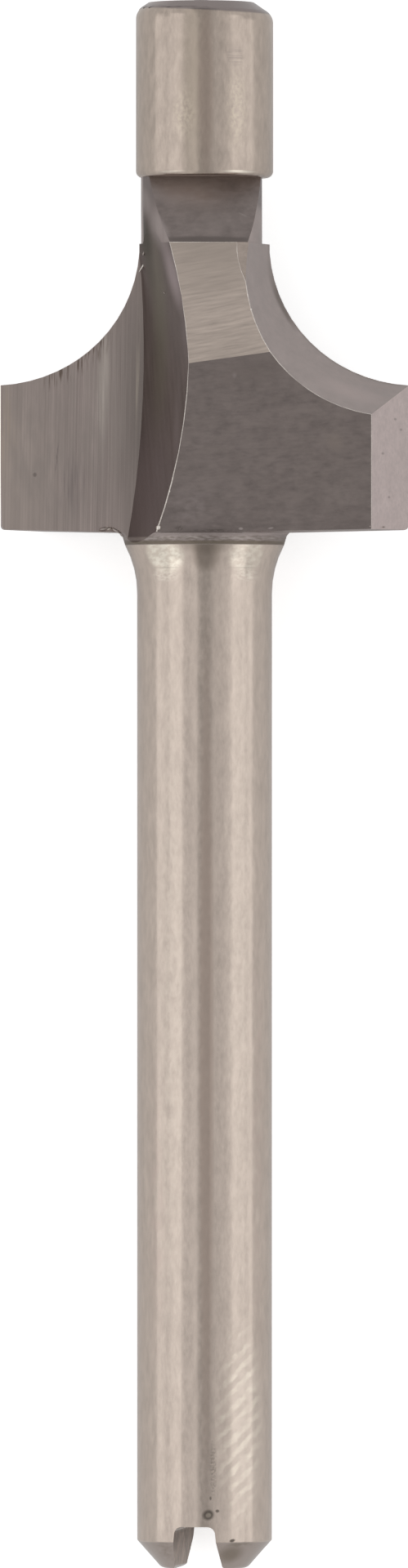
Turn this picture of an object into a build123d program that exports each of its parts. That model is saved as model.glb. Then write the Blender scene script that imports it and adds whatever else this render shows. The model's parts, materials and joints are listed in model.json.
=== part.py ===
"""Corner-rounding router bit with a solid pilot, for a small rotary tool.

The bit is one piece of high-speed steel.  It is turned as a blank (shank, flare,
head disc with its concave rounding profile, neck and pilot) and then ground: two
flutes leave two wings, each wing is backed off behind its cutting edge, and flats
are ground across the wings' backs and the neck.  The shank's end has a chamfer and
a narrow driving slot.

Millimetres.  The bit is modelled upright on its own axis, tail at z = 0 and pilot
up, with one wing along -X and the other along +X.  The front of the bit is its -Y
side.  The grinding cuts are worked out for the front and turned half a turn for
the back.  At the end the bit is laid down as it rests on a bench: its axis runs
along +Y, pilot first, and its front looks up.
"""

import os
from math import atan2, cos, degrees, radians, sin, sqrt, tan

from build123d import *

# ---- driving dimensions --------------------------------------------------------

# Lengths along the axis, each from the end of the one before it.
shank_length = 22.95        # tail face to the start of the flare
flare_length = 1.13         # shank to the hub
hub_height = 0.27           # conical band between the flare and the wings' backs
hub_to_wing = 0.10          # ground backs' ledge to the wings' underside at the rim
wing_edge_height = 3.39     # wings' underside to the foot of the rounding profile
neck_length = 1.56          # top of the head to the pilot
pilot_length = 4.13

shank_diameter = 3.175
flare_rim_diameter = 3.74
hub_diameter = 3.92
head_diameter = 9.60
pilot_diameter = 3.23
neck_diameter = 2.85
neck_runout = 0.07          # the neck is ground this far off the axis, towards -X

rounding_radius = 3.53      # concave profile that the cutting edges carry
rounding_foot_inset = 1.45  # axis to the profile where it runs parallel to the axis
shoulder_drop = 0.19        # top of the head below the profile's centre
blank_allowance = 0.21      # stock left on the turned profile for the relief wheel

tail_chamfer_height = 0.66
tail_chamfer_width = 0.58
pilot_chamfer_height = 0.25
pilot_chamfer_width = 0.37
pilot_end_runout = 0.08     # chamfer and parting pip are this far off the axis, towards -X
parting_pip_diameter = 0.34  # nub left where the bit was parted from its bar
parting_pip_height = 0.06
pilot_foot_round = 0.16     # rounding under the pilot's overhang
corner_break = 0.09         # rounding at the wings' outer corners
underside_dish = 1.3        # degrees, wings' underside rises towards the rim
root_fillet = 0.12          # wings' underside into the hub

# Flutes: a wheel with a V rim is plunged into the blank beside the axis.
flute_wheel_radius = 14.1
flute_root_offset = 1.43    # axis to the line where a rake face meets its gullet
flute_centre_height = 4.30  # wheel's centre above the ledge
gullet_angle = 58.0         # degrees between the gullet wall and the rake face
wheel_lean = 58.0           # degrees between the wheel's plunge and the rake face

# Relief: what lies behind an edge falls away by these lengths for each 1 mm of depth.
profile_relief_in = 0.33    # towards the axis
profile_relief_down = 0.39  # towards the tail
rim_relief_in = 0.47        # towards the axis, on the rim

# Backs of the wings: depth is measured from the axis towards the front.
back_depth_at_crest = 1.70  # broad flat, where the gullet cuts it
back_depth_at_rim = 1.90    # broad flat, at the rim's land
upper_back_foot = 3.98      # ledge to the ridge below the upper flat, at the crest
upper_back_lean = 5.8       # degrees, upper flat falls away towards the pilot
upper_back_skew = 7.9       # degrees, the ridge rises towards the rim
neck_flat_depth = 1.09      # on the axis, at the top of the head
neck_flat_lean = 20.0       # degrees, falls away towards the pilot
neck_flat_roll = 9.0        # degrees, falls away towards +X

slot_floor_width = 0.94
slot_mouth_width = 1.14
slot_depth = 1.02
slot_floor_round = 0.18
slot_turn = -9.0            # degrees, slot turned from square to the wings

# ---- derived heights and radii -------------------------------------------------

flare_top = shank_length + flare_length
ledge_height = flare_top + hub_height
underside_height = ledge_height + hub_to_wing
profile_foot = underside_height + wing_edge_height
profile_centre_height = profile_foot + rounding_radius
profile_centre_reach = rounding_foot_inset + rounding_radius
step_height = profile_centre_height - shoulder_drop
pilot_foot = step_height + neck_length
pilot_end = pilot_foot + pilot_length

shank_radius = shank_diameter / 2
flare_rim_radius = flare_rim_diameter / 2
hub_radius = hub_diameter / 2
head_radius = head_diameter / 2
pilot_radius = pilot_diameter / 2

hub_underside = underside_height - (head_radius - hub_radius) * tan(radians(underside_dish))
blank_profile_radius = rounding_radius - blank_allowance
rim_top = profile_centre_height - sqrt(
    blank_profile_radius**2 - (profile_centre_reach - head_radius)**2)
shoulder_radius = profile_centre_reach - sqrt(blank_profile_radius**2 - shoulder_drop**2)
span = 3 * head_diameter    # size of the bodies that cut a whole side away


def revolved(outline):
    """Solid turned about the bit's axis from a closed outline in radius and height.

    The turned surfaces are joined at the front left, in a flute.
    """
    return Rot(0, 0, -135) * revolve(Plane.XZ * outline, Axis.Z)


def corner(outline, radius, height):
    """The outline's corner nearest to a radius and a height."""
    return outline.vertices().sort_by_distance((radius, height, 0))[0]


def all_in_front():
    """Body with a flat back at y = 0 that takes away everything in front of it."""
    return Box(span, span, 2 * span, align=(Align.CENTER, Align.MAX, Align.CENTER))


def both_sides(body):
    """The body for the front and the same one half a turn round, for the back."""
    return [body, Rot(0, 0, 180) * body]


# ---- turned blank --------------------------------------------------------------

blank_outline = make_face([
    *Polyline((shoulder_radius, step_height), (0, step_height), (0, 0),
              (shank_radius - tail_chamfer_width, 0), (shank_radius, tail_chamfer_height),
              (shank_radius, shank_length)).edges(),
    TangentArc((shank_radius, shank_length), (flare_rim_radius, flare_top), tangent=(0, 1)),
    *Polyline((flare_rim_radius, flare_top), (hub_radius, hub_underside),
              (head_radius, underside_height), (head_radius, rim_top)).edges(),
    RadiusArc((head_radius, rim_top), (shoulder_radius, step_height), blank_profile_radius),
])
blank_outline = fillet(corner(blank_outline, hub_radius, hub_underside), root_fillet)
blank_outline = fillet(corner(blank_outline, head_radius, underside_height), corner_break)
blank_outline = fillet(corner(blank_outline, head_radius, rim_top), corner_break)
blank = revolved(blank_outline)

neck = Pos(-neck_runout, 0, pilot_foot + 1) * Cylinder(
    neck_diameter / 2, neck_length + 2, align=(Align.CENTER, Align.CENTER, Align.MAX))

pilot_outline = make_face(Polyline((0, pilot_foot), (pilot_radius, pilot_foot),
                                   (pilot_radius, pilot_end), (0, pilot_end), close=True))
pilot_outline = fillet(corner(pilot_outline, pilot_radius, pilot_foot), pilot_foot_round)
chamfer_slope = pilot_chamfer_height / pilot_chamfer_width
chamfer_cut = revolved(make_face(Polyline(
    (pilot_radius - pilot_chamfer_width, pilot_end),
    (pilot_radius - pilot_chamfer_width, pilot_end + 1), (pilot_radius + 1, pilot_end + 1),
    (pilot_radius + 1, pilot_end - pilot_chamfer_height - chamfer_slope), close=True)))
parting_pip = Pos(0, 0, pilot_end) * Cylinder(
    parting_pip_diameter / 2, 2 * parting_pip_height)
pilot = (revolved(pilot_outline) - Pos(-pilot_end_runout, 0, 0) * chamfer_cut
         + Pos(-pilot_end_runout, 0, 0) * parting_pip)

# ---- flats on the wings' backs and on the neck ---------------------------------

crest_x = back_depth_at_crest / tan(radians(gullet_angle)) - flute_root_offset
land_x = head_radius - rim_relief_in * back_depth_at_rim
back_turn = degrees(atan2(back_depth_at_rim - back_depth_at_crest, land_x - crest_x))

broad_flat = Pos(crest_x, -back_depth_at_crest, ledge_height) * Rot(0, 0, -back_turn)
upper_flat = (broad_flat * Pos(0, 0, upper_back_foot)
              * Rot(0, -upper_back_skew, 0) * Rot(-upper_back_lean, 0, 0))
neck_flat = (Pos(0, -neck_flat_depth, step_height) * Rot(0, 0, neck_flat_roll)
             * Rot(-neck_flat_lean, 0, 0))

above_ledge = Pos(0, 0, ledge_height) * Box(
    span, span, span, align=(Align.CENTER, Align.CENTER, Align.MIN))
for cut in both_sides(broad_flat * all_in_front() & above_ledge):
    blank -= cut
for cut in both_sides(upper_flat * all_in_front()):
    blank -= cut
for cut in both_sides(neck_flat * all_in_front()):
    neck -= cut
tool = blank + neck

# ---- relief behind the cutting edges -------------------------------------------

relief_run = Vector(-profile_relief_in, -1, -profile_relief_down) * 2 * back_depth_at_rim
profile_disc = Plane.XZ * Pos(profile_centre_reach, profile_centre_height) * Circle(rounding_radius)
profile_relief = extrude(
    profile_disc, amount=relief_run.length, dir=relief_run.normalized(), both=True)
rim_relief = (Pos(head_radius, 0, 0) * Rot(0, 0, 90 - degrees(atan2(rim_relief_in, 1)))
              * all_in_front())
for cut in both_sides(profile_relief) + both_sides(rim_relief):
    tool -= cut

# ---- flutes --------------------------------------------------------------------

# The wheel's section has its root at the origin, its rake side along -X and its gullet
# side rising on the right.  The wheel's axis lies in the plane of the section.
reach = 3 * head_radius
lean = radians(wheel_lean)
gullet = radians(gullet_angle)
plunge = Vector(-cos(lean), sin(lean))
wheel_axis = Vector(sin(lean), cos(lean))
wheel_centre = plunge * flute_wheel_radius
wheel_section = make_face(Polyline(
    (0, 0), (reach * cos(gullet), reach * sin(gullet)), wheel_centre + wheel_axis,
    wheel_centre - wheel_axis, (-reach, 0), close=True))
wheel = revolve(wheel_section, Axis(wheel_centre, wheel_axis))
flute = Pos(-flute_root_offset, 0, ledge_height + flute_centre_height) * Rot(180, 0, 0) * wheel
for cut in both_sides(flute):
    tool -= cut

# ---- pilot and driving slot ----------------------------------------------------

slot_outline = make_face(Polyline(
    (-slot_floor_width / 2, slot_depth), (slot_floor_width / 2, slot_depth),
    (slot_mouth_width / 2, 0), (slot_mouth_width / 2, -1),
    (-slot_mouth_width / 2, -1), (-slot_mouth_width / 2, 0), close=True))
for side in (-1, 1):
    slot_outline = fillet(
        corner(slot_outline, side * slot_floor_width / 2, slot_depth), slot_floor_round)
slot = extrude(Plane.XZ * slot_outline, amount=shank_diameter, both=True)

router_bit = tool + pilot - Rot(0, 0, slot_turn) * slot

# ---- laid down -----------------------------------------------------------------

# The bit rests on the rim of its hub and on the edge of its tail chamfer.
rest_tilt = degrees(atan2(hub_radius - shank_radius, ledge_height - tail_chamfer_height))
router_bit = Rot(rest_tilt - 90, 0, 0) * router_bit
rest_box = router_bit.bounding_box()
router_bit = Pos(-rest_box.center().X, -rest_box.center().Y, -rest_box.min.Z) * router_bit

os.makedirs("parts", exist_ok=True)
export_step(router_bit, "parts/router_bit.step")
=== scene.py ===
"""Looks of a corner-rounding router bit that lies on a pale floor, pilot first.

The bit is one piece of ground high-speed steel.  Its mesh keeps the faces of the plain
solid, and each ground or turned face gets the marks of the wheel or tool that made it.
"""

import bmesh
import bpy
import json
import math
import random
from mathutils import Matrix, Vector


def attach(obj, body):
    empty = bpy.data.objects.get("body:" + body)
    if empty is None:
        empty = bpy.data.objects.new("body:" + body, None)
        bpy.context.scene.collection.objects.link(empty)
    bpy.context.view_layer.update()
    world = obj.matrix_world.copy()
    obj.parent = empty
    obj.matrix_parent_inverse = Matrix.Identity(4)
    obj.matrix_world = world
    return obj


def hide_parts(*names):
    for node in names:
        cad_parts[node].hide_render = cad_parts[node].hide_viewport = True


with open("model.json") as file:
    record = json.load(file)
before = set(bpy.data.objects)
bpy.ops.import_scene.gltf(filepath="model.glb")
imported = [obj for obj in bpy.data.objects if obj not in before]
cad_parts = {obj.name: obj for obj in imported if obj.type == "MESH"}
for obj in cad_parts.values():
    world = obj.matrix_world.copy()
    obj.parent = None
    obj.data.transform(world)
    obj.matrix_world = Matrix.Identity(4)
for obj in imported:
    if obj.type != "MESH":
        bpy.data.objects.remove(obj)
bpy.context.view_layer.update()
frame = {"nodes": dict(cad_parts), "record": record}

MM = 0.001

# ---- the bit's own axes ------------------------------------------------------
# The bit lies slightly tilted, so its surfaces are described along its own axis:
# across (towards the right wing), along (towards the pilot) and front (up).

TAIL_CHAMFER = 0.66 * MM

mounts = {m["name"]: m for m in frame["record"]["mounts"]}
along = Vector(mounts["pilot"]["axis"]).normalized()
across = Vector((1, 0, 0))
front = across.cross(along)
shank_middle = Vector(mounts["shank"]["pos_m"])
tail = shank_middle - along * (mounts["shank"]["dims"]["length_mm"] * MM / 2 + TAIL_CHAMFER)
axes = Matrix((across, along, front))          # row frame to the bit's own axes


def bit_point(across_mm, along_mm, front_mm):
    """A point in the row frame from millimetres across, from the tail and to the front."""
    return tail + (across * across_mm + along * along_mm + front * front_mm) * MM


# ---- camera ------------------------------------------------------------------
# A long lens straight above the bit, square to its axis, framing its whole length.

CAMERA_DISTANCE = 0.375
CAMERA_REACH = (0.01, 10)
VIEW_HEIGHT = 36.945 * MM
VIEW_CENTRE = (-0.013, 18.46, 0)        # in the bit's own millimetres
SENSOR = 36.0

camera_data = bpy.data.cameras.new("camera")
camera_data.sensor_width = SENSOR
camera_data.lens = SENSOR * CAMERA_DISTANCE / VIEW_HEIGHT
camera_data.clip_start, camera_data.clip_end = CAMERA_REACH
camera = bpy.data.objects.new("camera", camera_data)
camera.matrix_world = Matrix.Translation(
    bit_point(*VIEW_CENTRE) + front * CAMERA_DISTANCE) @ axes.transposed().to_4x4()
bpy.context.scene.collection.objects.link(camera)
bpy.context.scene.camera = camera
bpy.context.scene.view_settings.view_transform = "Standard"

# ---- floor -------------------------------------------------------------------
# A plain white sheet.  It stays a shade under white in reflections, and the camera
# sees it lifted so that only the bit's own shadow is darker than white.

FLOOR_SIZE = 1.6
FLOOR_COLOUR = (0.86, 0.86, 0.86, 1)
FLOOR_LIFT = 0.64           # light added for the camera
MIRRORED_LIFT = 0.08        # light added in reflections

floor_mesh = bpy.data.meshes.new("floor")
half = FLOOR_SIZE / 2
floor_mesh.from_pydata(
    [(-half, -half, 0), (half, -half, 0), (half, half, 0), (-half, half, 0)], [], [(0, 1, 2, 3)])
floor = bpy.data.objects.new("floor", floor_mesh)
bpy.context.scene.collection.objects.link(floor)
floor_material = bpy.data.materials.new("floor")
floor_material.use_nodes = True
nodes, links = floor_material.node_tree.nodes, floor_material.node_tree.links
nodes.clear()
floor_out = nodes.new("ShaderNodeOutputMaterial")
sheet = nodes.new("ShaderNodeBsdfDiffuse")
sheet.inputs["Color"].default_value = FLOOR_COLOUR
lift = nodes.new("ShaderNodeEmission")
both = nodes.new("ShaderNodeAddShader")
path = nodes.new("ShaderNodeLightPath")
mirrored = nodes.new("ShaderNodeMath")
mirrored.operation = "MULTIPLY"
mirrored.inputs[1].default_value = MIRRORED_LIFT
amount = nodes.new("ShaderNodeMath")
amount.operation = "MULTIPLY_ADD"
amount.inputs[1].default_value = FLOOR_LIFT
links.new(path.outputs["Is Glossy Ray"], mirrored.inputs[0])
links.new(path.outputs["Is Camera Ray"], amount.inputs[0])
links.new(mirrored.outputs[0], amount.inputs[2])
links.new(amount.outputs[0], lift.inputs["Strength"])
links.new(sheet.outputs[0], both.inputs[0])
links.new(lift.outputs[0], both.inputs[1])
links.new(both.outputs[0], floor_out.inputs["Surface"])
floor_mesh.materials.append(floor_material)

# ---- studio light ------------------------------------------------------------
# A white tent with a dim gap over the bit, where the camera looks in, and a long
# soft box on each side.  Steel that faces up mirrors the gap.

TENT = (               # how far to the right a direction points, and the tent's light there
    (-1.00, 1.04), (-0.93, 0.90), (-0.85, 0.69), (-0.75, 0.73), (-0.64, 0.78), (-0.50, 0.74),
    (-0.38, 0.76), (-0.25, 0.90), (-0.16, 0.51), (-0.10, 0.46), (0.00, 0.46), (0.12, 0.43),
    (0.20, 0.56), (0.30, 0.69), (0.45, 0.67), (0.60, 0.76), (0.72, 0.86), (0.82, 0.71),
    (0.92, 0.64), (1.00, 1.10),
)
BACKDROP = 1.0              # what the camera sees past the floor
BOX_SIZE = (0.22, 0.70)
BOX_DISTANCE = 0.5
BOX_WATTS = 0.16
BOX_AIM = (0, 18.5, 0)      # middle of the bit, in its own millimetres

world = bpy.data.worlds.new("tent")
bpy.context.scene.world = world
world.use_nodes = True
nodes, links = world.node_tree.nodes, world.node_tree.links
nodes.clear()
world_out = nodes.new("ShaderNodeOutputWorld")
background = nodes.new("ShaderNodeBackground")
direction = nodes.new("ShaderNodeTexCoord")
split = nodes.new("ShaderNodeSeparateXYZ")
sideways = nodes.new("ShaderNodeMapRange")
sideways.inputs["From Min"].default_value = -1.0
tent = nodes.new("ShaderNodeValToRGB")
for place, light in TENT[1:-1]:
    tent.color_ramp.elements.new((place + 1) / 2)
for element, (place, light) in zip(tent.color_ramp.elements, TENT):
    element.position = (place + 1) / 2
    element.color = (light, light, light, 1)
seen = nodes.new("ShaderNodeLightPath")
behind = nodes.new("ShaderNodeMix")
behind.data_type = "RGBA"
behind.inputs["B"].default_value = (BACKDROP, BACKDROP, BACKDROP, 1)
links.new(direction.outputs["Generated"], split.inputs[0])
links.new(split.outputs["X"], sideways.inputs["Value"])
links.new(sideways.outputs[0], tent.inputs["Fac"])
links.new(tent.outputs["Color"], behind.inputs["A"])
links.new(seen.outputs["Is Camera Ray"], behind.inputs["Factor"])
links.new(behind.outputs["Result"], background.inputs["Color"])
links.new(background.outputs[0], world_out.inputs["Surface"])


def soft_box(name, degrees_from_top):
    """A long soft box beside the bit, at an angle from straight above, facing the bit."""
    light = bpy.data.lights.new(name, "AREA")
    light.shape = "RECTANGLE"
    light.size, light.size_y = BOX_SIZE
    light.energy = BOX_WATTS
    box = bpy.data.objects.new(name, light)
    angle = math.radians(degrees_from_top)
    away = across * math.sin(angle) + front * math.cos(angle)
    box.matrix_world = Matrix.Translation(bit_point(*BOX_AIM) + away * BOX_DISTANCE) @ Matrix(
        (along.cross(away), along, away)).transposed().to_4x4()
    bpy.context.scene.collection.objects.link(box)


soft_box("left_box", -50)
soft_box("right_box", 60)

# ---- steel body --------------------------------------------------------------
# One bar of high-speed steel, turned to its blank and then ground.  The shank and
# pilot keep fine turning marks.  Every flat, land and flute keeps its wheel's lines.

# Places and sizes are in the bit's own millimetres: across, from the tail, to the front.
SLOT_FLOOR = 1.05
SLOT_REACH = 1.3            # the slot's walls lie within this radius
HEAD_FOOT = 24.05           # the flare ends just above
HUB_TOP = 24.42
HUB_RADIUS = 2.1            # just outside the hub's rim
RAKE_END = -1.3             # across, where a rake face ends at its flute's root
AXIS_PLANE = 0.9            # the rake faces stay this close to the axis, up and down
STEP = 31.19                # top of the head, at the neck's foot
NECK_TOP = 32.60
PROFILE_CENTRE = (4.98, 31.37)      # radius and height of the rounding profile's centre
BLANK_PROFILE_RADIUS = 3.32
TOUCHING = 0.01             # a corner this close to the turned profile lies on it
WORN_CORNERS = (            # radius, lowest and highest place along the bit, and rounding
    (1.615, 36.4, 36.9, 0.17),      # outer edge of the pilot's chamfer
    (1.0075, -0.01, 0.01, 0.08),    # end of the tail chamfer
)
WORN_WITHIN = 0.02          # how closely an edge has to keep to its radius
CORNER_STEPS = 5
SHARP = math.radians(14)
SAME_POINT = 1e-7           # metres
SAME_FLAT = 0.002           # radians

# Steel's fine lines and slow mottle, as noise.
LINE_DETAIL = 3.0
MOTTLE_DETAIL = 4.0
NOISE_ROUGHNESS = 0.6
SHADE_SPREAD = (0.36, 0.64)         # noise at which the dark and the light shade are reached
DULL_SPREAD = (0.3, 0.7)            # noise at which the least and most rough are reached
LINE_RELIEF = 0.01 * MM

# Stains, and painted shade and painted highlights, laid over the steel.
# Every patch below tints the steel: its own marks, painted shade and painted highlights alike.
MARK_DEPTH = 0.6            # how far a stain reaches up and down where it does not say
ALL_DEPTHS = 9.0
STAIN_AND_LIGHT_COVER = (0.38, 0.62)          # noise between which a stain is broken up
CHATTER_COVER = (0.49, 0.61)        # the same for chatter marks
SPAN_FADE = 0.25            # a line along the profile fades out over this length


def mapped(tree, value, from_range, to_range=(0.0, 1.0), interpolation="LINEAR"):
    """Carry a value from one range over to another."""
    node = tree.nodes.new("ShaderNodeMapRange")
    node.interpolation_type = interpolation
    ends = (*from_range, *to_range)
    for name, end in zip(("From Min", "From Max", "To Min", "To Max"), ends):
        node.inputs[name].default_value = end
    tree.links.new(value, node.inputs["Value"])
    return node.outputs[0]


def stretched_noise(tree, place, scale, detail=2.0, roughness=0.5):
    """Noise that is drawn out along each axis by its own scale."""
    stretched = tree.nodes.new("ShaderNodeMapping")
    stretched.inputs["Scale"].default_value = scale
    noise = tree.nodes.new("ShaderNodeTexNoise")
    noise.inputs["Scale"].default_value = 1.0
    noise.inputs["Detail"].default_value = detail
    noise.inputs["Roughness"].default_value = roughness
    tree.links.new(place, stretched.inputs["Vector"])
    tree.links.new(stretched.outputs[0], noise.inputs["Vector"])
    return noise.outputs["Fac"]


def shaded(tree, value, spread, dark, light):
    """A colour that goes from dark to light as a value crosses its spread."""
    ramp = tree.nodes.new("ShaderNodeValToRGB")
    for element, position, colour in zip(ramp.color_ramp.elements, spread, (dark, light)):
        element.position = position
        element.color = (*colour, 1)
    tree.links.new(value, ramp.inputs["Fac"])
    return ramp.outputs["Color"]


def steel(name, dark, light, lines, mottle, turn=0.0, rough=(0.30, 0.45), bump=0.25, blend=0.45):
    """Steel with wheel or tool lines, in the bit's own millimetres.

    lines and mottle are the pitches of the fine marks and of the slow shading: across, along
    and, where it is not the one across, to the front.  turn is their angle in degrees, and
    blend is the share of the mottle.  rough is the least and the most rough.
    """
    material = bpy.data.materials.new(name)
    material.use_nodes = True
    tree = material.node_tree
    link = tree.links.new
    shader = tree.nodes["Principled BSDF"]
    shader.inputs["Metallic"].default_value = 1.0
    place = tree.nodes.new("ShaderNodeTexCoord")
    bit = tree.nodes.new("ShaderNodeMapping")
    bit.name = "bit_mm"
    bit.inputs["Location"].default_value = -(axes @ tail) / MM
    bit.inputs["Rotation"].default_value = axes.to_euler()
    bit.inputs["Scale"].default_value = (1 / MM, 1 / MM, 1 / MM)
    turned = tree.nodes.new("ShaderNodeMapping")
    turned.inputs["Rotation"].default_value = (0, 0, math.radians(-turn))
    link(place.outputs["Object"], bit.inputs["Vector"])
    link(bit.outputs[0], turned.inputs["Vector"])
    fine, slow = (
        stretched_noise(tree, turned.outputs[0], [1 / run for run in (*pitch, pitch[0])[:3]],
                        detail, NOISE_ROUGHNESS)
        for pitch, detail in ((lines, LINE_DETAIL), (mottle, MOTTLE_DETAIL)))
    mixed = tree.nodes.new("ShaderNodeMix")
    mixed.data_type = "FLOAT"
    mixed.inputs["Factor"].default_value = blend
    relief = tree.nodes.new("ShaderNodeBump")
    relief.inputs["Strength"].default_value = bump
    relief.inputs["Distance"].default_value = LINE_RELIEF
    link(fine, mixed.inputs["A"])
    link(slow, mixed.inputs["B"])
    link(shaded(tree, mixed.outputs["Result"], SHADE_SPREAD, dark, light),
         shader.inputs["Base Color"])
    link(mapped(tree, fine, DULL_SPREAD, rough), shader.inputs["Roughness"])
    link(fine, relief.inputs["Height"])
    link(relief.outputs[0], shader.inputs["Normal"])
    return material


def shades(colour, spread):
    """A dark and a light shade of a colour."""
    return [tuple(c * (1 - spread) for c in colour), tuple(c * (1 + spread) for c in colour)]


finishes = {
    "turned": steel("turned_steel", *shades((0.60, 0.51, 0.445), 0.10), (0.08, 0.20), (0.18, 0.60),
                    0, (0.13, 0.23), 0.08, 0.6),
    "pilot": steel("pilot_steel", *shades((0.515, 0.435, 0.375), 0.12), (0.07, 0.20), (0.15, 0.42),
                   0, (0.15, 0.26), 0.08, 0.65),
    "slot": steel("slot_steel", *shades((0.46, 0.38, 0.33), 0.5), (0.06, 0.8), (0.2, 0.5),
                  0, (0.35, 0.5), 0.3),
    "rake": steel("rake_steel", *shades((0.40, 0.335, 0.312), 0.22), (0.035, 14.0, 50.0),
                  (0.20, 5.0, 50.0), -1, (0.30, 0.5), 0.25, 0.5),
    "gullet": steel("gullet_steel", *shades((0.168, 0.136, 0.126), 0.13), (0.06, 2.5, 5.0),
                    (0.3, 1.2, 2.0), 4, (0.35, 0.5), 0.2),
    "broad": steel("broad_flat_steel", *shades((0.228, 0.192, 0.180), 0.14), (0.25, 0.07),
                   (0.5, 0.32), 3, (0.38, 0.5), 0.2, 0.6),
    "upper": steel("upper_flat_steel", *shades((0.568, 0.482, 0.423), 0.15), (0.8, 0.06),
                   (1.1, 0.15), 10, (0.3, 0.45), 0.3),
    "neck": steel("neck_flat_steel", *shades((0.275, 0.234, 0.22), 0.17), (0.3, 0.12), (0.4, 0.28),
                  6, (0.35, 0.5), 0.2, 0.6),
    "arc_land": steel("arc_land_steel", *shades((0.44, 0.378, 0.360), 0.08), (0.2, 0.14),
                      (0.5, 0.4), 0, (0.32, 0.45), 0.12),
    "profile": steel("turned_profile_steel", *shades((0.345, 0.29, 0.255), 0.12), (0.12, 0.05),
                     (0.3, 0.2), 0, (0.32, 0.45), 0.2),
    "rim_land": steel("rim_land_steel", *shades((0.595, 0.50, 0.48), 0.10), (0.1, 0.1),
                      (0.35, 0.3), 0, (0.32, 0.42), 0.12),
    "hub": steel("hub_band_steel", *shades((0.37, 0.315, 0.30), 0.14), (1.0, 0.03), (0.5, 0.08),
                 0, (0.35, 0.5), 0.3),
}
finish_order = list(finishes)


def tinted(finish, amount):
    """Lay a new colour over a finish, as strongly as amount, and give that colour's socket."""
    tree = finishes[finish].node_tree
    shader = tree.nodes["Principled BSDF"]
    under = shader.inputs["Base Color"].links[0].from_socket
    tint = tree.nodes.new("ShaderNodeMix")
    tint.data_type = "RGBA"
    tree.links.new(amount, tint.inputs["Factor"])
    tree.links.new(under, tint.inputs["A"])
    tree.links.new(tint.outputs["Result"], shader.inputs["Base Color"])
    return tint.inputs["B"]


def times(tree, amount, share):
    """One amount multiplied by another."""
    product = tree.nodes.new("ShaderNodeMath")
    product.operation = "MULTIPLY"
    tree.links.new(amount, product.inputs[0])
    tree.links.new(share, product.inputs[1])
    return product.outputs[0]


def oval(tree, at, half_sizes, turn, strength, soft):
    """An amount that is full in an oval patch and fades away over its soft outer share."""
    patch = tree.nodes.new("ShaderNodeMapping")
    patch.vector_type = "TEXTURE"
    patch.inputs["Location"].default_value = at
    patch.inputs["Rotation"].default_value = (0, 0, math.radians(turn))
    patch.inputs["Scale"].default_value = (*half_sizes, MARK_DEPTH)[:3]
    away = tree.nodes.new("ShaderNodeVectorMath")
    away.operation = "LENGTH"
    tree.links.new(tree.nodes["bit_mm"].outputs[0], patch.inputs["Vector"])
    tree.links.new(patch.outputs[0], away.inputs[0])
    return mapped(tree, away.outputs["Value"], (1 - soft, 1), (strength, 0), "SMOOTHSTEP")


def broken_up(tree, amount, grain, cover):
    """An amount broken up by noise, at a pitch across and along, whatever the depth."""
    specks = stretched_noise(tree, tree.nodes["bit_mm"].outputs[0],
                             (1 / grain[0], 1 / grain[1], 0))
    return times(tree, amount, mapped(tree, specks, cover))


def stain_and_painted_light(finish, at, half_sizes, turn, colour, strength, soft=0.6, grain=None):
    """Tint an oval patch, faded over its soft share, and broken up at a grain's pitch."""
    tree = finishes[finish].node_tree
    amount = oval(tree, at, half_sizes, turn, strength, soft)
    if grain:
        amount = broken_up(tree, amount, grain, STAIN_AND_LIGHT_COVER)
    tinted(finish, amount).default_value = (*colour, 1)


PIT = (0.055, 0.045, 0.035)
SOOT = (0.16, 0.135, 0.11)
# GLINT is the colour of painted highlights.
GLINT = (0.95, 0.88, 0.76)

# Tail: darker chamfer, pits beside the slot, and a brighter scuffed side.
stain_and_painted_light("turned", (0, 0.25, 0), (4.0, 0.44, ALL_DEPTHS), 0, (0.37, 0.315, 0.29), 0.8, 0.10)
stain_and_painted_light("turned", (0.62, 0.36, 1.2), (0.46, 0.34), 10, (0.235, 0.195, 0.155), 0.8, 0.8)
stain_and_painted_light("turned", (0.85, 0.60, 1.3), (0.45, 0.09), 0, (0.27, 0.23, 0.19), 0.8, 0.7, (0.20, 0.08))
stain_and_painted_light("turned", (-1.0, 0.58, 1.3), (0.40, 0.08), 0, (0.27, 0.23, 0.19), 0.7, 0.7, (0.20, 0.08))
stain_and_painted_light("slot", (-0.40, 0.95, 0), (0.6, 0.45, ALL_DEPTHS), 0, (0.22, 0.175, 0.14), 0.75, 0.8,
      (0.05, 0.3))
stain_and_painted_light("turned", (-0.95, 0.34, 1.2), (0.42, 0.26), 8, (0.25, 0.205, 0.17), 0.75, 0.8, (0.14, 0.12))
stain_and_painted_light("turned", (0.085, 1.31, 1.55), (0.18, 0.16), 20, PIT, 0.85, 0.6)
stain_and_painted_light("turned", (0.090, 1.30, 1.55), (0.095, 0.080), 20, (0.44, 0.38, 0.32), 0.95, 0.6)
stain_and_painted_light("turned", (0.30, 1.40, 1.55), (0.06, 0.05), 0, PIT, 0.7)
stain_and_painted_light("turned", (0.65, 0.70, 1.45), (0.09, 0.050), 15, PIT, 0.85)
stain_and_painted_light("turned", (0.14, 1.70, 1.55), (0.035, 0.06), 0, PIT, 0.6)
stain_and_painted_light("turned", (0.20, 2.40, 1.55), (0.12, 0.9), 0, SOOT, 0.5, 0.8, (0.045, 0.045))
stain_and_painted_light("turned", (0.98, 3.40, 1.2), (0.50, 2.6, 1.5), 0, (0.74, 0.64, 0.56), 0.7, 0.6)
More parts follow.
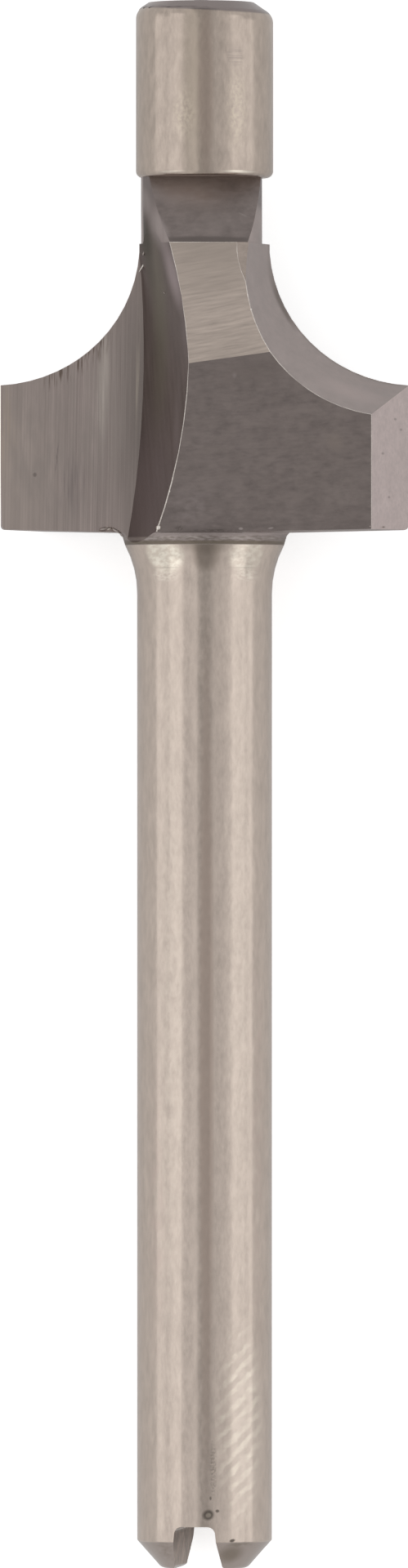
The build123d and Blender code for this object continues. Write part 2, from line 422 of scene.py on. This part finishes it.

# Shank: paler flecks along its two bright sides, which are painted glints, and warmer stains low
# on the left.
# Painted glints on the shank's bright sides.
stain_and_painted_light("turned", (-0.75, 13.5, 1.3), (0.45, 10.5), 0, (0.78, 0.685, 0.59), 0.3, 0.8, (0.13, 0.26))
stain_and_painted_light("turned", (0.80, 14.5, 1.3), (0.42, 10.0), 0, (0.78, 0.685, 0.59), 0.25, 0.8, (0.12, 0.22))
stain_and_painted_light("turned", (0.04, 12.0, 1.5), (0.22, 12.5), 0, (0.615, 0.495, 0.425), 0.9, 0.6)
stain_and_painted_light("turned", (-1.10, 8.5, 1.0), (0.25, 6.0), 0, (0.60, 0.485, 0.43), 0.5, 0.8, (0.15, 0.50))
stain_and_painted_light("turned", (1.25, 10.0, 0.9), (0.20, 8.0), 0, (0.60, 0.485, 0.43), 0.5, 0.8, (0.15, 0.50))

# Flare: painted highlights as bright mottled patches on both sides of a painted dark reflection
# shaped like a notch, under the hub.
for middle, base, glint in ((-0.98, 0.85, 0.85), (1.05, 0.45, 0.45)):
    stain_and_painted_light("turned", (middle, 23.82, 1.5), (0.62, 0.52), 0, (0.79, 0.70, 0.595), base, 0.4)
    stain_and_painted_light("turned", (middle, 23.82, 1.5), (0.60, 0.46), 0, GLINT, glint, 0.4, (0.13, 0.10))
    stain_and_painted_light("turned", (middle, 23.36, 1.4), (0.52, 0.22), 0, GLINT, 0.45, 0.8, (0.10, 0.06))
    stain_and_painted_light("turned", (middle, 23.54, 1.5), (0.62, 0.030), 0, (0.44, 0.38, 0.33), 0.5, 0.9)
# The painted dark reflection in the middle of the flare.
stain_and_painted_light("turned", (0.04, 24.08, 1.8), (0.66, 0.30), 0, (0.30, 0.25, 0.21), 0.85, 0.7)
stain_and_painted_light("turned", (0.04, 23.85, 1.8), (0.46, 0.55), 0, (0.30, 0.245, 0.205), 0.7, 0.6)

# Hub band: a painted highlight along its top edge over a dark band.
stain_and_painted_light("hub", (0, 24.24, 0), (9.0, 0.050, ALL_DEPTHS), 0, (0.46, 0.41, 0.38), 0.70, 0.7,
      (0.5, 0.05))
stain_and_painted_light("hub", (0, 24.13, 0), (9.0, 0.055, ALL_DEPTHS), 0, (0.20, 0.165, 0.125), 0.85, 0.5)
stain_and_painted_light("hub", (0, 24.20, 0), (9.0, 0.14, ALL_DEPTHS), 0, (0.17, 0.14, 0.115), 0.6, 0.6,
      (0.16, 0.05))
# Foot of the broad flat: a dark spot, painted shadow along the ledge over the hub, and a few light
# specks.
stain_and_painted_light("broad", (-0.60, 24.46, 1.7), (0.14, 0.09), 15, (0.09, 0.075, 0.065), 0.75, 0.8,
      (0.05, 0.05))
stain_and_painted_light("broad", (0.2, 24.52, 1.7), (1.6, 0.14), 0, (0.19, 0.16, 0.15), 0.7, 0.9, (0.25, 0.08))
stain_and_painted_light("broad", (0.30, 24.41, 1.7), (0.90, 0.05), 0, (0.13, 0.11, 0.10), 0.7, 0.8, (0.12, 0.05))
stain_and_painted_light("broad", (0.85, 24.45, 1.7), (0.07, 0.04), 0, (0.48, 0.42, 0.40), 0.7)
stain_and_painted_light("broad", (1.55, 24.46, 1.7), (0.09, 0.03), 10, (0.48, 0.42, 0.40), 0.6)

# Pilot: painted dark reflection down its middle, a dark tip, paler flecks on its bright sides as
# painted glints, short scratches across it, and a painted highlight along its foot.
stain_and_painted_light("pilot", (-0.25, 34.8, 1.5), (0.42, 4.0), 0, (0.47, 0.395, 0.315), 0.6, 0.9)
stain_and_painted_light("pilot", (0.03, 34.8, 1.5), (0.24, 3.0), 0, (0.53, 0.425, 0.36), 0.8, 0.6)
stain_and_painted_light("pilot", (-0.52, 34.8, 1.5), (0.34, 4.0), 0, (0.42, 0.35, 0.295), 0.35, 0.9, (0.12, 0.30))
stain_and_painted_light("pilot", (0, 36.96, 0), (4.0, 0.355, ALL_DEPTHS), -2.9, (0.272, 0.233, 0.226), 0.92, 0.12)
stain_and_painted_light("pilot", (-1.2, 36.87, 0), (0.60, 0.16, ALL_DEPTHS), 0, (0.42, 0.36, 0.34), 0.6, 0.8)
stain_and_painted_light("pilot", (0.72, 35.55, 1.4), (0.26, 0.30), 0, (0.34, 0.29, 0.26), 0.6, 0.5, (0.6, 0.03))
# Painted glints on the pilot's bright sides.
stain_and_painted_light("pilot", (-0.45, 34.2, 1.4), (0.40, 0.9), 0, (0.72, 0.63, 0.50), 0.5, 0.9, (0.08, 0.12))
stain_and_painted_light("pilot", (0.75, 34.3, 1.4), (0.40, 1.4), 0, (0.72, 0.63, 0.50), 0.4, 0.9, (0.08, 0.12))
# Painted highlight along the pilot's foot.
stain_and_painted_light("pilot", (0.85, 32.84, 1.4), (0.62, 0.045), 0, GLINT, 0.8, 0.8)
stain_and_painted_light("pilot", (-0.80, 32.84, 1.4), (0.52, 0.035), 0, GLINT, 0.45, 0.9)

# Rake face: darker towards its root, a pale line along it, a warmer corner, a pit and
# scratches.
stain_and_painted_light("rake", (-1.05, 27.3, 0), (1.75, 5.2, ALL_DEPTHS), 2, (0.225, 0.195, 0.178), 0.85, 0.9)
stain_and_painted_light("rake", (-1.57, 28.4, 0), (0.06, 2.1, ALL_DEPTHS), -1, (0.50, 0.435, 0.37), 0.7, 0.8,
      (0.05, 1.5))
stain_and_painted_light("rake", (-4.90, 25.6, 0), (2.4, 3.6, ALL_DEPTHS), 0, (0.47, 0.40, 0.36), 0.8, 0.9)
stain_and_painted_light("rake", (-4.75, 26.9, 0), (0.45, 1.7, ALL_DEPTHS), 0, (0.49, 0.405, 0.33), 0.7, 0.9,
      (0.05, 1.4))
stain_and_painted_light("rake", (-2.30, 27.5, 0), (0.75, 2.6, ALL_DEPTHS), -2, (0.54, 0.475, 0.435), 0.3, 0.8,
      (0.04, 4.0))
stain_and_painted_light("rake", (-2.38, 27.9, 0), (0.20, 1.9, ALL_DEPTHS), -2, (0.74, 0.67, 0.60), 0.7, 0.8,
      (0.022, 4.0))
stain_and_painted_light("rake", (-3.4, 26.5, 0), (1.8, 2.6, ALL_DEPTHS), 0, (0.36, 0.31, 0.285), 0.6, 0.5,
      (0.20, 0.9))
stain_and_painted_light("rake", (-3.99, 25.74, 0), (0.06, 0.07, ALL_DEPTHS), 0, (0.13, 0.11, 0.10), 0.5)
stain_and_painted_light("rake", (-3.47, 26.15, 0), (0.035, 0.55, ALL_DEPTHS), -6, (0.19, 0.165, 0.16), 0.6, 0.8,
      (0.03, 0.25))
stain_and_painted_light("rake", (-3.10, 25.50, 0), (0.45, 1.0, ALL_DEPTHS), -4, (0.24, 0.205, 0.20), 0.5, 0.8,
      (0.035, 1.0))

# Gullet: olive above, purple below, and a painted highlight beside the crest where it runs out
# into the neck.  The hub band's painted highlight and dark band run on across its foot.
stain_and_painted_light("gullet", (-1.25, 29.0, 0.8), (0.55, 3.2), 0, (0.182, 0.164, 0.127), 0.9, 0.8)
stain_and_painted_light("gullet", (-1.35, 32.75, 0), (0.90, 0.85, ALL_DEPTHS), 0, (0.225, 0.19, 0.18), 0.95, 0.5)
# Painted highlight beside the crest.
stain_and_painted_light("gullet", (-1.12, 31.65, 1.0), (0.34, 0.95), 20, (0.335, 0.288, 0.275), 0.95, 0.9)
stain_and_painted_light("gullet", (-0.74, 30.40, 1.3), (0.24, 1.35), 17, (0.40, 0.33, 0.33), 0.75, 0.9)
stain_and_painted_light("gullet", (-0.48, 29.10, 1.6), (0.14, 1.0), 5, (0.27, 0.22, 0.22), 0.3, 0.9)
stain_and_painted_light("gullet", (-1.30, 25.4, 0), (1.3, 2.4, ALL_DEPTHS), 0, (0.215, 0.175, 0.172), 0.8, 0.9)
stain_and_painted_light("gullet", (-0.66, 27.0, 1.6), (0.14, 1.6), -2, (0.24, 0.20, 0.195), 0.6, 0.9)
stain_and_painted_light("gullet", (-1.36, 30.75, 0.7), (0.22, 1.3), 8, (0.110, 0.097, 0.080), 0.75, 0.8)
stain_and_painted_light("gullet", (-1.43, 31.40, 0.5), (0.21, 0.80, ALL_DEPTHS), 14, (0.095, 0.084, 0.070), 0.75,
      0.7)
stain_and_painted_light("gullet", (-1.38, 32.15, 0), (0.16, 0.50, ALL_DEPTHS), 10, (0.35, 0.30, 0.285), 0.7, 0.8)
stain_and_painted_light("gullet", (-1.2, 24.22, 0), (9.0, 0.060, ALL_DEPTHS), 0, (0.40, 0.345, 0.32), 0.8, 0.6)
stain_and_painted_light("gullet", (-1.2, 24.12, 0), (9.0, 0.055, ALL_DEPTHS), 0, (0.20, 0.165, 0.125), 0.85, 0.5)

# Broad flat: paler beside the hub and towards its middle, with a few specks.
stain_and_painted_light("broad", (-0.30, 24.95, 1.7), (0.85, 0.75), 0, (0.34, 0.29, 0.28), 0.5, 0.9, (0.3, 0.2))
stain_and_painted_light("broad", (1.6, 26.6, 1.8), (3.2, 2.6), 0, (0.29, 0.245, 0.225), 0.4, 0.5, (0.30, 0.22))
stain_and_painted_light("broad", (0.70, 28.05, 1.7), (0.07, 0.10), 0, (0.38, 0.33, 0.32), 0.6, 0.8)
stain_and_painted_light("broad", (3.05, 26.5, 1.8), (0.30, 0.35), 0, (0.30, 0.25, 0.22), 0.5, 0.9)
stain_and_painted_light("broad", (3.2, 25.3, 1.8), (1.1, 1.0), 0, (0.30, 0.255, 0.235), 0.5, 0.9, (0.3, 0.2))
stain_and_painted_light("broad", (1.2, 28.2, 1.7), (1.7, 0.5), 8, (0.215, 0.18, 0.165), 0.5, 0.9)

# Upper flat: duller towards the neck, and a dull scuff along its right edge.
stain_and_painted_light("upper", (0.2, 31.2, 1.4), (2.2, 2.1), 0, (0.465, 0.395, 0.345), 0.75, 0.9)
stain_and_painted_light("upper", (1.15, 30.0, 1.4), (0.16, 1.6), 12, (0.52, 0.44, 0.41), 0.5, 0.9, (0.08, 0.25))

# Arc land: paler towards the rim.  Rim land: a few specks.
stain_and_painted_light("arc_land", (3.4, 27.6, 1.0), (1.3, 0.6), -20, (0.53, 0.445, 0.425), 0.7, 0.9)
for at in ((4.48, 27.04, 0.7), (4.18, 26.22, 1.2), (4.33, 25.20, 0.9), (4.62, 26.80, 0.4)):
    stain_and_painted_light("rim_land", at, (0.045, 0.040), 0, (0.28, 0.23, 0.215), 0.6)

# Neck: painted light under the pilot, which thins the pilot's shadow there, and a painted
# highlight along its left edge, with a few light scratches, a painted shadow line in the corner at
# its foot, and darker round sides.
# Painted light against the pilot's shadow.
stain_and_painted_light("neck", (0.0, 32.45, 1.0), (1.8, 0.60), 0, (0.62, 0.533, 0.51), 0.85, 0.8)
stain_and_painted_light("neck", (-0.98, 31.55, 1.0), (0.12, 0.55), 28, (0.44, 0.38, 0.37), 0.6, 0.9)
stain_and_painted_light("neck", (0.3, 31.9, 1.0), (1.4, 0.9), 0, (0.34, 0.293, 0.275), 0.5, 0.9, (0.45, 0.30))
stain_and_painted_light("arc_land", (1.45, 32.40, 0), (0.40, 0.55, ALL_DEPTHS), 0, (0.26, 0.225, 0.22), 0.85, 0.4)
stain_and_painted_light("arc_land", (-0.93, 31.38, 1.0), (0.17, 0.34), 15, (0.275, 0.236, 0.225), 0.9, 0.3)
stain_and_painted_light("neck", (0.22, 32.45, 1.0), (0.05, 0.13), 0, (0.42, 0.37, 0.35), 0.6)
stain_and_painted_light("neck", (0.90, 31.85, 1.0), (0.20, 0.04), -25, (0.42, 0.37, 0.35), 0.5)
# Painted shadow in the corner at the neck's foot.
stain_and_painted_light("neck", (0, 31.25, 1.0), (2.0, 0.11), 0, (0.17, 0.145, 0.135), 0.8, 0.6)


def shade_along_profile(finish, side, reach, span, colour, strength, grain=None):
    """Tint a band along the concave profile on the right (side 1) or the left (side -1).

    reach is the band's near and far distance from the profile's centre, and span how far
    out from the axis it runs, from and to.
    """
    tree = finishes[finish].node_tree
    place = tree.nodes["bit_mm"].outputs[0]
    flat = tree.nodes.new("ShaderNodeMapping")
    flat.inputs["Scale"].default_value = (1, 1, 0)
    from_centre = tree.nodes.new("ShaderNodeVectorMath")
    from_centre.operation = "DISTANCE"
    from_centre.inputs[1].default_value = (side * PROFILE_CENTRE[0], PROFILE_CENTRE[1], 0)
    split = tree.nodes.new("ShaderNodeSeparateXYZ")
    tree.links.new(place, flat.inputs["Vector"])
    tree.links.new(flat.outputs[0], from_centre.inputs[0])
    tree.links.new(place, split.inputs[0])
    amount = mapped(tree, from_centre.outputs["Value"], reach, (strength, 0), "SMOOTHSTEP")
    for end, beyond in ((span[0], span[0] - SPAN_FADE), (span[1], span[1] + SPAN_FADE)):
        amount = times(tree, amount,
                       mapped(tree, split.outputs["X"], (side * beyond, side * end)))
    if grain:
        amount = broken_up(tree, amount, grain, CHATTER_COVER)
    tinted(finish, amount).default_value = (*colour, 1)


# Chatter marks under the left cutting edge, and a brown shadow line on the right one.
shade_along_profile("rake", -1, (3.60, 3.96), (2.4, 3.6), (0.13, 0.092, 0.07), 0.8, (0.055, 0.8))
shade_along_profile("arc_land", 1, (3.57, 3.66), (1.70, 1.95), (0.20, 0.165, 0.145), 0.8)
shade_along_profile("arc_land", 1, (3.53, 3.58), (2.0, 4.5), (0.28, 0.235, 0.21), 0.6)

# Slanting light scratches on the right of the shank, near the tail.
HATCH_TURN = math.radians(45)
HATCH_WAVES = {"Scale": 1.2, "Distortion": 2.4, "Detail": 3.0, "Detail Scale": 3.0}
HATCH_SPREAD = (0.25, 0.85)         # wave at which the dark and the light shade are reached
HATCH_PATCHES = (3.5, 3.5, 3.5)
HATCH_COVER = (0.36, 0.62)

tree = finishes["turned"].node_tree
place = tree.nodes["bit_mm"].outputs[0]
slanted = tree.nodes.new("ShaderNodeMapping")
slanted.inputs["Rotation"].default_value = (0, 0, HATCH_TURN)
strokes = tree.nodes.new("ShaderNodeTexWave")
for name, value in HATCH_WAVES.items():
    strokes.inputs[name].default_value = value
tree.links.new(place, slanted.inputs["Vector"])
tree.links.new(slanted.outputs[0], strokes.inputs["Vector"])
scratches = shaded(tree, strokes.outputs["Fac"], HATCH_SPREAD,
                   (0.54, 0.46, 0.40), (0.86, 0.78, 0.66))
patches = stretched_noise(tree, place, HATCH_PATCHES, LINE_DETAIL)
amount = times(tree, oval(tree, (0.82, 3.5, 1.3), (0.74, 2.9, 0.9), 0, 0.5, 0.5),
               mapped(tree, patches, HATCH_COVER))
tree.links.new(scratches, tinted("turned", amount))

# Least shares of a face's normal, out of 1, by which its surface is known.
SLOT_WALL = 0.5             # at most this along the bit
FLUTE_FOOT = (-0.1, 0.7)    # along the bit, where a flute runs out on the hub
GULLET = (0.6, 0.3)         # away from the wing, and to the front
RAKE_FRONT = 0.9
NECK_FLAT = (0.85, 0.3)     # to the front, and along the bit
BACK_FRONT = 0.985
UPPER_SLOPE = 0.05          # along the bit
RIM_LAND = (0.85, 0.02)     # sideways, and at most this along the bit
UNDERSIDE = 0.9


def finish_of(corners, centre, normal):
    """Which surface a face belongs to, from its corners, its middle and its normal."""
    if all(abs(math.hypot(math.hypot(corner.x, corner.z) - PROFILE_CENTRE[0],
                          corner.y - PROFILE_CENTRE[1]) - BLANK_PROFILE_RADIUS) < TOUCHING
           for corner in corners):
        return "profile"
    reach = math.hypot(centre.x, centre.z)
    if centre.y < SLOT_FLOOR and reach < SLOT_REACH and abs(normal.y) < SLOT_WALL:
        return "slot"
    if centre.y < HEAD_FOOT:
        return "turned"
    if centre.y > NECK_TOP:
        return "pilot"
    near_axis = abs(centre.z) < AXIS_PLANE
    if centre.z * normal.z < 0 or near_axis:        # the back is the front turned round
        half = -1 if normal.z < 0 else 1
    else:
        half = 1 if centre.z > 0 else -1
    x, front_share, side_share = centre.x * half, normal.z * half, normal.x * half
    on_foot = FLUTE_FOOT[0] <= normal.y <= FLUTE_FOOT[1]
    if centre.y < HUB_TOP and reach < HUB_RADIUS and not on_foot:
        return "hub"
    if side_share < -GULLET[0] and front_share > GULLET[1]:
        return "gullet"
    if front_share > RAKE_FRONT and x < RAKE_END and near_axis:
        return "rake"
    if centre.y > STEP:
        on_flat = front_share > NECK_FLAT[0] and normal.y > NECK_FLAT[1]
        return "neck" if on_flat else "arc_land"
    if front_share > BACK_FRONT:
        return "upper" if normal.y > UPPER_SLOPE else "broad"
    if abs(normal.y) < RIM_LAND[1] and side_share > RIM_LAND[0]:
        return "rim_land"
    if normal.y < -UNDERSIDE:
        return "hub"
    return "arc_land"


body_mesh = bpy.data.meshes.new("steel_body")
work = bmesh.new()
work.from_mesh(frame["nodes"]["router_bit"].data)
bmesh.ops.remove_doubles(work, verts=work.verts, dist=SAME_POINT)
bmesh.ops.dissolve_limit(work, angle_limit=SAME_FLAT, verts=work.verts, edges=work.edges)
rounded = set()
for radius, lowest, highest, size in WORN_CORNERS:
    worn = []
    for edge in work.edges:
        ends = [axes @ (vert.co - tail) / MM for vert in edge.verts]
        if edge.calc_face_angle(0) > SHARP and all(
                lowest < end.y < highest and abs(math.hypot(end.x, end.z) - radius) < WORN_WITHIN
                for end in ends):
            worn.append(edge)
    rounded |= set(bmesh.ops.bevel(work, geom=worn, offset=size * MM, segments=CORNER_STEPS,
                                   profile=0.5, affect="EDGES")["faces"])
for face in work.faces:
    corners = [axes @ (vert.co - tail) / MM for vert in face.verts]
    middle = axes @ (face.calc_center_median() - tail) / MM
    face.material_index = finish_order.index(finish_of(corners, middle, axes @ face.normal))
    face.smooth = True
for edge in work.edges:
    meets_rounding = sum(face in rounded for face in edge.link_faces) == 1
    edge.smooth = edge.calc_face_angle(0) < SHARP and not meets_rounding
work.to_mesh(body_mesh)
for finish in finish_order:
    body_mesh.materials.append(finishes[finish])
body = bpy.data.objects.new("steel_body", body_mesh)
bpy.context.scene.collection.objects.link(body)
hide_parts("router_bit")
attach(body, "root")

# ---- edge highlights ---------------------------------------------------------
# Thin tubes along the edges where two ground faces meet, which catch the light as a rounded edge
# does; their pale steel adds a painted highlight.  They are strongest on the lower half of the
# crest between a flute and a wing's back.

LOW_CREST = 0.013          # radii in millimetres
HIGH_CREST = 0.006
UPPER_EDGE = 0.008
LAND_EDGE = 0.006
CREST_HALFWAY = 27.6       # millimetres from the tail
EDGE_SIDES = 6
EDGE_UNEVENNESS = 0.9
WOBBLE_LENGTH = 0.3 * MM
WOBBLE_SPREAD = (0.36, 0.66)        # noise at which the thinnest and the thickest are reached
SAME_END = 0.001 * MM

crest = {"upper", "broad"}
meetings = {frozenset(pair) for pair in (
    ("upper", "arc_land"), ("upper", "profile"), ("upper", "neck"), ("broad", "arc_land"),
    ("broad", "rim_land"))}
edge_points, edge_pairs, edge_radii = [], [], []
for edge in work.edges:
    if len(edge.link_faces) != 2 or edge.calc_face_angle(0) < SHARP:
        continue
    names = {finish_order[face.material_index] for face in edge.link_faces}
    ends = [axes @ (vert.co - tail) / MM for vert in edge.verts]
    if "gullet" in names and names & crest:
        radius = LOW_CREST if ends[0].y < CREST_HALFWAY else HIGH_CREST
    elif frozenset(names) in meetings and min(abs(end.z) for end in ends) > AXIS_PLANE:
        radius = UPPER_EDGE if "upper" in names else LAND_EDGE
    else:
        continue
    edge_pairs.append((len(edge_points), len(edge_points) + 1))
    edge_points += [vert.co.copy() for vert in edge.verts]
    edge_radii += [radius, radius]
work.free()

edge_mesh = bpy.data.meshes.new("edge_highlight_lines")
edge_mesh.from_pydata(edge_points, edge_pairs, [])
edge_mesh.attributes.new("line_radius", "FLOAT", "POINT").data.foreach_set("value", edge_radii)
edge_lines = bpy.data.objects.new("edge_highlight_lines", edge_mesh)
bpy.context.scene.collection.objects.link(edge_lines)

edge_tree = bpy.data.node_groups.new("edge_highlights", "GeometryNodeTree")
edge_tree.interface.new_socket("Lines", in_out="INPUT", socket_type="NodeSocketGeometry")
unevenness = edge_tree.interface.new_socket(
    "Unevenness", in_out="INPUT", socket_type="NodeSocketFloat")
finish_in = edge_tree.interface.new_socket(
    "Finish", in_out="INPUT", socket_type="NodeSocketMaterial")
edge_tree.interface.new_socket("Edges", in_out="OUTPUT", socket_type="NodeSocketGeometry")
group_in = edge_tree.nodes.new("NodeGroupInput")
group_out = edge_tree.nodes.new("NodeGroupOutput")
merged = edge_tree.nodes.new("GeometryNodeMergeByDistance")
merged.inputs["Distance"].default_value = SAME_END
runs = edge_tree.nodes.new("GeometryNodeMeshToCurve")
wanted = edge_tree.nodes.new("GeometryNodeInputNamedAttribute")
wanted.data_type = "FLOAT"
wanted.inputs["Name"].default_value = "line_radius"
wobble = edge_tree.nodes.new("ShaderNodeTexNoise")
wobble.inputs["Scale"].default_value = 1 / WOBBLE_LENGTH
scaled = edge_tree.nodes.new("ShaderNodeMath")
scaled.operation = "MULTIPLY_ADD"
scaled.inputs[2].default_value = 1.0
ring = edge_tree.nodes.new("GeometryNodeCurvePrimitiveCircle")
ring.inputs["Resolution"].default_value = EDGE_SIDES
ring.inputs["Radius"].default_value = MM
tube = edge_tree.nodes.new("GeometryNodeCurveToMesh")
tube.inputs["Fill Caps"].default_value = True
coat = edge_tree.nodes.new("GeometryNodeSetMaterial")
real = edge_tree.nodes.new("GeometryNodeRealizeInstances")
link = edge_tree.links.new
link(group_in.outputs["Lines"], merged.inputs["Geometry"])
link(merged.outputs[0], runs.inputs["Mesh"])
link(mapped(edge_tree, wobble.outputs["Fac"], WOBBLE_SPREAD, (-1, 1)), scaled.inputs[0])
link(group_in.outputs["Unevenness"], scaled.inputs[1])
link(runs.outputs["Curve"], tube.inputs["Curve"])
link(times(edge_tree, wanted.outputs["Attribute"], scaled.outputs[0]), tube.inputs["Scale"])
link(ring.outputs["Curve"], tube.inputs["Profile Curve"])
link(tube.outputs["Mesh"], coat.inputs["Geometry"])
link(group_in.outputs["Finish"], coat.inputs["Material"])
link(coat.outputs["Geometry"], real.inputs["Geometry"])
link(real.outputs["Geometry"], group_out.inputs["Edges"])
grown = edge_lines.modifiers.new("edge_highlights", "NODES")
grown.node_group = edge_tree
grown[unevenness.identifier] = EDGE_UNEVENNESS
# Pale steel for the tubes: a painted highlight.
grown[finish_in.identifier] = steel(
    "edge_highlight_steel", (0.62, 0.56, 0.52), (0.90, 0.84, 0.78), (0.05, 0.05), (0.4, 0.4))
edge_highlight_mesh = bpy.data.meshes.new_from_object(
    edge_lines.evaluated_get(bpy.context.evaluated_depsgraph_get()))
edge_highlight_mesh.name = "edge_highlights"
bpy.data.objects.remove(edge_lines)
edge_highlights = bpy.data.objects.new("edge_highlights", edge_highlight_mesh)
bpy.context.scene.collection.objects.link(edge_highlights)
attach(edge_highlights, "root")

# ---- burrs -------------------------------------------------------------------
# Slivers of torn steel that the wheel left at the ends of the flute, on the edges of
# the ground faces and under the wings.  The bright ones are pale steel, a painted highlight.

BURRS = (              # across, from the tail, length, width, degrees from the axis, bright
    (-1.08, 24.47, 0.14, 0.12, 0, True),
    (-0.82, 25.33, 0.060, 0.035, -15, True),
    (1.09, 29.59, 0.055, 0.045, 0, True),
    (-1.45, 30.66, 0.360, 0.040, 31, True),
    (-1.43, 30.95, 0.110, 0.045, 15, False),
    (-0.94, 30.00, 0.065, 0.030, -60, False),
    (3.88, 24.50, 0.050, 0.045, 0, False),
    (-2.34, 24.47, 0.075, 0.30, -8, False),
    (-2.27, 24.48, 0.100, 0.16, 10, True),
    (-2.08, 24.42, 0.075, 0.30, 30, False),
    (-1.94, 24.33, 0.070, 0.22, 50, False),
    (4.20, 24.49, 0.04, 0.10, 0, False),
)
BURR_SEED = 7
BURR_UNEVENNESS = (0.8, 1.15)
ABOVE = 10                 # millimetres to the front, clear of the bit

burr_finishes = (
    steel("dull_burr_steel", (0.30, 0.26, 0.24), (0.48, 0.42, 0.39), (0.04, 0.04), (0.2, 0.2)),
    # Pale steel for the bright burrs: a painted highlight.
    steel("highlit_burr_steel", (0.75, 0.68, 0.62), (0.95, 0.90, 0.84), (0.04, 0.04), (0.2, 0.2)),
)
random.seed(BURR_SEED)
lumps = bmesh.new()
for x, y, length, width, slant, bright in BURRS:
    _, spot, _, _ = body.ray_cast(bit_point(x, y, ABOVE), -front)
    lump = bmesh.ops.create_icosphere(lumps, subdivisions=2, radius=0.5)["verts"]
    turn = Matrix.Rotation(math.radians(-slant), 3, "Z")
    for face in {face for vert in lump for face in vert.link_faces}:
        face.material_index = int(bright)
        face.smooth = True
    for vert in lump:
        shaped = vert.co * random.uniform(*BURR_UNEVENNESS)
        shaped = turn @ Vector((shaped.x * width, shaped.y * length, shaped.z * width))
        vert.co = spot + (across * shaped.x + along * shaped.y + front * shaped.z) * MM
burr_mesh = bpy.data.meshes.new("burrs")
lumps.to_mesh(burr_mesh)
lumps.free()
for finish in burr_finishes:
    burr_mesh.materials.append(finish)
burrs = bpy.data.objects.new("burrs", burr_mesh)
bpy.context.scene.collection.objects.link(burrs)
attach(burrs, "root")
